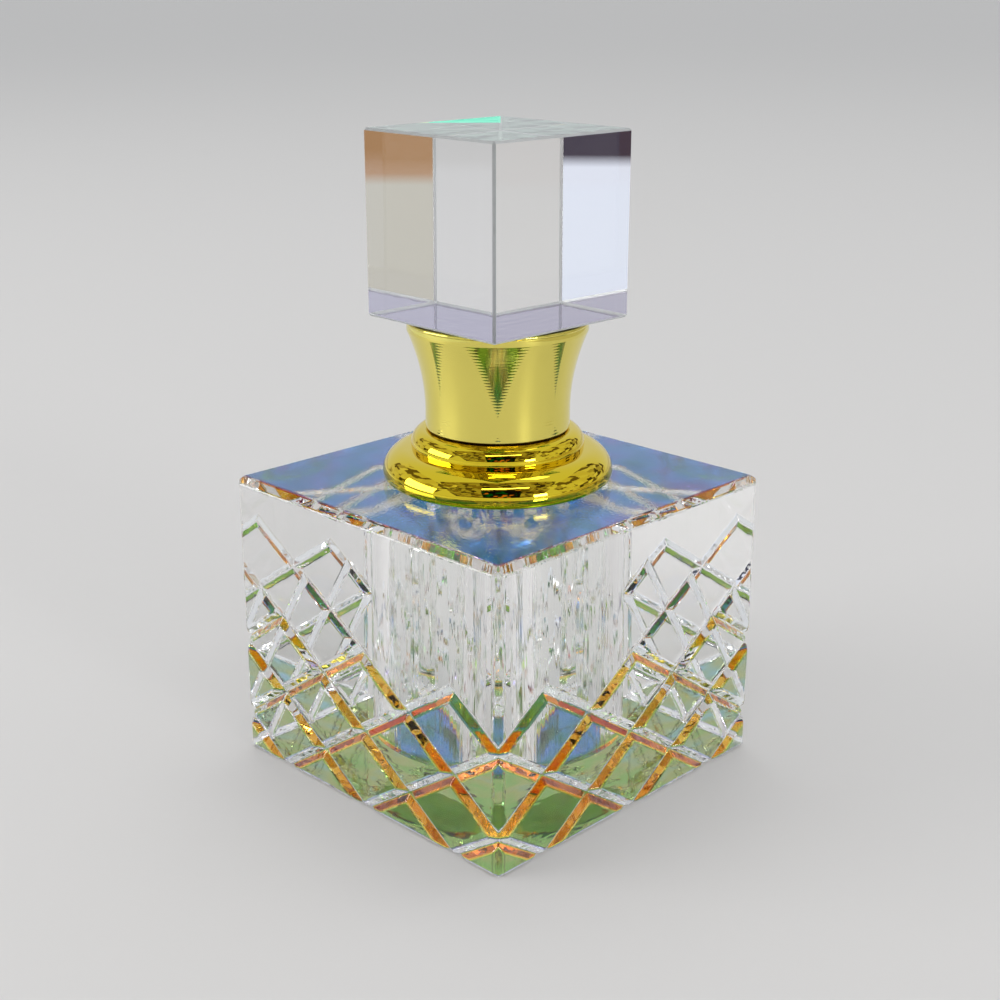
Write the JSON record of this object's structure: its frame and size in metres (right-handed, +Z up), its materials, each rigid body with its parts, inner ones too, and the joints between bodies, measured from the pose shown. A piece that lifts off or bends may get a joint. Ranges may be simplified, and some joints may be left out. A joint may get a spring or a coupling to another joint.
{
  "type": "perfume bottle",
  "caption": "Square cut-crystal perfume bottle with a gold collar, a flared gold screw cap that carries a glass dabber, and a crystal cube stopper.",
  "frame": {"origin": "centre of the underside, on the surface that the bottle stands on", "axes": "+Z up along the bore and the cap; the four cut faces of the body look along +X, -X, +Y and -Y"},
  "size_m": [0.0408, 0.0408, 0.0699],
  "materials": {
    "crystal": "polished lead-free crystal, cut grooves, iridescent coating under the base",
    "neck_metal": "turned and gold plated",
    "glue": "clear cured adhesive",
    "collar_gold": "mirror-polished gold plating",
    "seal_foam": "soft white foam",
    "dabber_glass": "clear drawn glass",
    "sleeve_gold": "bright turned, anodised greenish gold",
    "liner_plastic": "moulded, slightly matte",
    "stopper_crystal": "polished crystal, lavender coating underneath"
  },
  "bodies": {
    "bottle": {"crystal_body": "crystal", "neck_insert": "neck_metal", "neck_bond": "glue", "collar": "collar_gold"},
    "seal": {"cap_seal": "seal_foam"},
    "applicator": {"dabber": "dabber_glass"},
    "cap": {"cap_shell": "sleeve_gold", "cap_liner": "liner_plastic", "stopper_bond": "glue", "stopper_cube": "stopper_crystal"}
  },
  "joints": [
    {"name": "cap_lift", "type": "slide", "parent": "bottle", "child": "seal", "axis": [0, 0, 1], "range_m": [0, 0.045]},
    {"name": "cap_rise", "type": "slide", "parent": "seal", "child": "applicator", "axis": [0, 0, 1], "range_m": [0, 0.003]},
    {"name": "cap_turn", "type": "hinge", "parent": "applicator", "child": "cap", "pos_m": [0, 0, 0.045], "axis": [0, 0, 1], "range_deg": [0, 540]}
  ],
  "couplings": [
    {"joint": "cap_rise", "follows": "cap_turn", "m_per_rad": 0.00031831}
  ]
}
